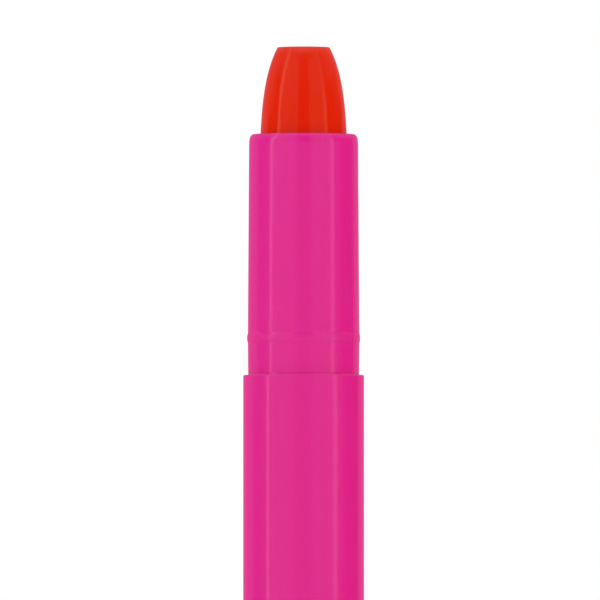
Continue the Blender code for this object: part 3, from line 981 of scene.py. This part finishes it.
def square_up(piece, half, high=math.inf):
    """Moves the points of a round wall out to the square around it, below a height."""
    for vertex in piece.data.vertices:
        x, y, z = vertex.co
        if z < high and abs(vertex.co.xy.length - half) < MERGE_DISTANCE:
            vertex.co.xy *= half / max(abs(x), abs(y))


collar_top = knob_high.z
ring_z = knob_front + RING_RISE
ring_half = RING_SECTION / 2 + SEAT_CLEARANCE
knob = turned("knob", [
    (SOCKET_HALF, web_top),
    (COLLAR_BORE_R, web_top),
    (COLLAR_BORE_R, collar_top),
    (COLLAR_R - RIM_EDGE, collar_top),
    *bead(COLLAR_R, SNAP_HEIGHT, knob_front + SNAP_RISE, SNAP_WIDTH),
    (COLLAR_R, ring_z + ring_half),
    (RING_GROOVE_R, ring_z + ring_half),
    (RING_GROOVE_R, ring_z - ring_half),
    (COLLAR_R, ring_z - ring_half),
    *grip,
    (BOSS_R, web_low),
    (BOSS_R, web_low - BOSS_LENGTH),
    (SOCKET_HALF, web_low - BOSS_LENGTH),
], FLUTE_COUNT * FLUTE_SEGMENTS)
square_up(knob, SOCKET_HALF)
run_tree(knob, flute_rule, {
    "Flute Count": float(FLUTE_COUNT),
    "Flute Depth": FLUTE_DEPTH,
    "Cutter Radius": FLUTE_RADIUS,
    "Grip Radius": barrel_r,
    "Cutter End": cutter_end,
    "Edge Round": FLUTE_EDGE,
    "Material": pink,
})
print(f"{FLUTE_COUNT} flutes, {FLUTE_DEPTH * MM:.2f} mm deep")

# %% [markdown]
# The knob's collar snaps into the barrel. Four slots let its end give way, and a saw would cut them as
# two crossing cuts. So does this tree: the blade is one box, turned a quarter for the second cut, and
# each cut is a Mesh Boolean.

# %% Slots in the knob's collar
SLOT_WIDTH = 0.0010
SLOT_DEPTH = 0.0045


def collar_slots():
    """A tree that saws two crossing slots into the upper end of a tube."""
    tree, size = geometry_tree("collar_slots", ("Slot Width", "Slot Depth", "Tube End", "Saw Length"))
    start = Wire(tree)
    reach = {"X": size["Saw Length"], "Y": size["Slot Width"], "Z": 2 * size["Slot Depth"]}
    blade = start.node("ShaderNodeCombineXYZ", sockets=reach)
    saw = blade.node("GeometryNodeMeshCube", sockets={"Size": blade})
    end = start.node("ShaderNodeCombineXYZ", sockets={"Z": size["Tube End"]})
    cut = size["Mesh"]
    for quarter in (0, math.pi / 2):
        placed = {"Geometry": saw, "Translation": end, "Rotation": (0, 0, quarter)}
        tool = saw.node("GeometryNodeTransform", sockets=placed)
        settings = {"operation": "DIFFERENCE", "solver": "EXACT"}
        cut = tool.node("GeometryNodeMeshBoolean", settings, {"Mesh 1": cut, "Mesh 2": tool})
    close_tree(cut, size["Material"])
    return tree


run_tree(knob, collar_slots(), {
    "Slot Width": SLOT_WIDTH,
    "Slot Depth": SLOT_DEPTH,
    "Tube End": collar_top,
    "Saw Length": 3 * barrel_r,  # well past the tube at both ends
    "Material": pink,
})
dress(knob, pink, "knob", "twist_knob")

# %% [markdown]
# The end plug closes the knob and is what the highlighter stands on: a flat disc with a round edge,
# and a ring-shaped spigot that is pressed into the knob. It is turned as the barrel is, from an outline
# that starts and ends on the axis.

# %% End plug
PLUG_FLANGE = 0.0012
PLUG_EDGE = 0.0003
PLUG_SPIGOT_R = 0.00555
PLUG_WALL = 0.0010

plug_low, plug_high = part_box("end_plug")
plug_r = plug_high.x
plug_seat = plug_low.z + PLUG_FLANGE
plug = turned("plug", rounded([
    (0, plug_seat, 0),
    (PLUG_SPIGOT_R - PLUG_WALL, plug_seat, 0),
    (PLUG_SPIGOT_R - PLUG_WALL, plug_high.z, MOULD_EDGE),
    (PLUG_SPIGOT_R, plug_high.z, PLUG_EDGE),
    (PLUG_SPIGOT_R, plug_seat, 0),
    (plug_r, plug_seat, MOULD_EDGE),
    (plug_r, plug_low.z, PLUG_EDGE),
    (0, plug_low.z, 0),
]))
dress(plug, pink, "knob", "end_plug")

# %% [markdown]
# The screw feed
#
# Inside, a screw turns with the knob and lifts a push rod. The thread is a ridge that winds round the
# core once in each lead. It could be a profile swept along a spiral curve and joined to the core by a
# Boolean. Here a tree lifts the points of a finely divided rod instead: the height of a point and its
# angle say how far it lies from the ridge. The same tree, on a hole, makes the nut's groove.

# %% Thread rule
THREAD_ROW = 0.0001


def left_hand_thread():
    """A tree that lifts a left-hand ridge out of a round wall of one radius, between two heights."""
    names = ("Core Radius", "Depth", "Root Width", "Crest Width", "Lead", "Seat", "Low", "High")
    tree, size = geometry_tree("left_hand_thread", names)
    x, y, z = Wire(tree).node("GeometryNodeInputPosition").split()
    reach = (x * x + y * y).math("SQRT")
    climb = z - size["Seat"] + size["Lead"] * y.math("ARCTAN2", x) / (2 * math.pi)
    off = climb - size["Lead"] * (climb / size["Lead"]).math("ROUND")
    ridge = 1 - off.math("ABSOLUTE").smooth(size["Crest Width"] / 2, size["Root Width"] / 2)
    started = z.smooth(size["Low"], size["Low"] + size["Crest Width"])
    ended = z.smooth(size["High"] - size["Crest Width"], size["High"])
    on_core = reach.math("COMPARE", size["Core Radius"], MERGE_DISTANCE)
    scale = 1 + on_core * ridge * started * (1 - ended) * size["Depth"] / reach
    widen_and_close(size, (x, y, z), scale)
    return tree


def rows(low, high):
    """Heights from high down to low, one thread row apart."""
    count = round((high - low) / THREAD_ROW)
    return [high - (high - low) * i / count for i in range(count + 1)]


thread_rule = left_hand_thread()
print("thread rule:", len(thread_rule.nodes), "nodes")

# %% [markdown]
# The screw stands on a thrust flange that turns on the knob's floor. Below it a square shank sits in
# the knob's socket, and takes the turning force. The core is turned with a row for each tenth of a
# millimetre, which is fine enough for the rule to draw a clean ridge.

# %% Drive screw
CORE_R = 0.0017
THREAD_LEAD = 0.0040
THREAD_DEPTH = 0.0007
THREAD_ROOT = 0.0016
THREAD_CREST = 0.0008
THREAD_SEGMENTS = 64
THRUST_R = 0.00435
THRUST_THICKNESS = 0.0012
SHANK_LENGTH = 0.0065
SCREW_TIP = 0.0006

screw_low, screw_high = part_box("drive_screw")
screw_seat = screw_low.z + SHANK_LENGTH
screw_top = screw_high.z
thrust_top = screw_seat + THRUST_THICKNESS
thrust_flange = rounded([
    (CORE_R, thrust_top, 0),
    (THRUST_R, thrust_top, MOULD_EDGE),
    (THRUST_R, screw_seat, MOULD_EDGE),
    (CORE_R, screw_seat, 0),
])[1:]
screw = turned("screw", [
    (0, screw_top),
    (CORE_R - SCREW_TIP, screw_top),
    *[(CORE_R, z) for z in rows(thrust_top, screw_top - SCREW_TIP)],
    *thrust_flange,
    (CORE_R, screw_low.z),
    (0, screw_low.z),
], THREAD_SEGMENTS)
square_up(screw, CORE_R, screw_seat + MERGE_DISTANCE)
run_tree(screw, thread_rule, {
    "Core Radius": CORE_R,
    "Depth": THREAD_DEPTH,
    "Root Width": THREAD_ROOT,
    "Crest Width": THREAD_CREST,
    "Lead": THREAD_LEAD,
    "Seat": screw_seat,
    "Low": thrust_top + THREAD_CREST,
    "High": screw_top - SCREW_TIP,
    "Material": white,
})
dress(screw, white, "knob", "drive_screw")

# %% [markdown]
# The push rod is the screw's long nut. Two flats on it slide in the neck's keyed hole, so it can't turn
# and has to climb. Its foot is a stop, and the stud on its head snaps into the cup. The thread rule makes
# the nut's groove: its limits lie past both ends of the nut, so that the groove runs right through.

# %% Push rod
ROD_R = 0.00385
ROD_FLAT = 0.00345
ROD_BORE_R = 0.0027
ROD_HEAD = 0.0012
STOP_R = 0.00435
STOP_THICKNESS = 0.0015
NUT_LENGTH = 0.0060
RUN_CLEARANCE = 0.0002
STUD_R = 0.0015
STUD_LIP = 0.00035
STUD_HEAD = 0.0007
STUD_LAND = STUD_HEAD / 3  # the upright part of the stud's lip

rod_low, rod_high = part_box("push_rod")
rod_foot = rod_low.z
nut_top = rod_foot + NUT_LENGTH
stud_top = rod_high.z
stud_lip = stud_top - STUD_HEAD
cup_low, cup_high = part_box("stick_cup")
rod_top = cup_low.z - SEAT_CLEARANCE
nut_r = CORE_R + RUN_CLEARANCE
rod_wall = rounded([
    (STUD_R, rod_top, 0),
    (ROD_R, rod_top, MOULD_EDGE),
    (ROD_R, rod_foot + STOP_THICKNESS, 0),
    (STOP_R, rod_foot + STOP_THICKNESS, MOULD_EDGE),
    (STOP_R, rod_foot, MOULD_EDGE),
    (nut_r, rod_foot, 0),
])[:-1]
rod = turned("rod", [
    (0, stud_top),
    (STUD_R, stud_top),
    (STUD_R + STUD_LIP, stud_lip + STUD_LAND),
    (STUD_R + STUD_LIP, stud_lip),
    (STUD_R, stud_lip),
    *rod_wall,
    *[(nut_r, z) for z in reversed(rows(rod_foot, nut_top))],
    (ROD_BORE_R, nut_top),
    (ROD_BORE_R, rod_top - ROD_HEAD),
    (0, rod_top - ROD_HEAD),
], THREAD_SEGMENTS)
cut_flats(rod, ROD_R, ROD_FLAT)
run_tree(rod, thread_rule, {
    "Core Radius": nut_r,
    "Depth": THREAD_DEPTH,
    "Root Width": THREAD_ROOT + 2 * RUN_CLEARANCE,
    "Crest Width": THREAD_CREST + 2 * RUN_CLEARANCE,
    "Lead": THREAD_LEAD,
    "Seat": screw_seat,
    "Low": rod_foot - THREAD_LEAD,
    "High": nut_top + THREAD_LEAD,
    "Material": white,
})
dress(rod, white, "stick", "push_rod")

# %% [markdown]
# The cup grips the root of the gel, with a hole in its base for the stud. Its outline is closed without
# the axis, so turning it leaves the hole open.

# %% Cup
CUP_WALL = 0.0007
CUP_BASE = 0.0015
CUP_EDGE = 0.00015
STUD_HOLE_R = STUD_R + SEAT_CLEARANCE

cup_r = cup_high.x
cup_floor = cup_low.z + CUP_BASE
cup = turned("cup", rounded([
    (cup_r - CUP_WALL, cup_high.z, MOULD_EDGE),
    (cup_r, cup_high.z, MOULD_EDGE),
    (cup_r, cup_low.z, CUP_EDGE),
    (STUD_HOLE_R, cup_low.z, MOULD_EDGE),
    (STUD_HOLE_R, cup_floor, MOULD_EDGE),
    (cup_r - CUP_WALL, cup_floor, CUP_EDGE),
]))
dress(cup, white, "stick", "stick_cup")

# %% [markdown]
# The drag ring is a rubber O-ring in the collar's groove: it rubs in the barrel, so that the knob stays
# where it is left. Blender's torus would do, but a turned circle gets its segments and its dressing from
# the same helpers as the rest.

# %% Drag ring
RING_STEPS = 24

ring_section_r = RING_SECTION / 2
ring_r = RING_GROOVE_R + SEAT_CLEARANCE + ring_section_r
ring_turns = [2 * math.pi * i / RING_STEPS for i in range(RING_STEPS)]
ring = turned("ring", [
    (ring_r + ring_section_r * math.cos(t), ring_z - ring_section_r * math.sin(t)) for t in ring_turns
])
dress(ring, rubber, "knob", "drag_ring")
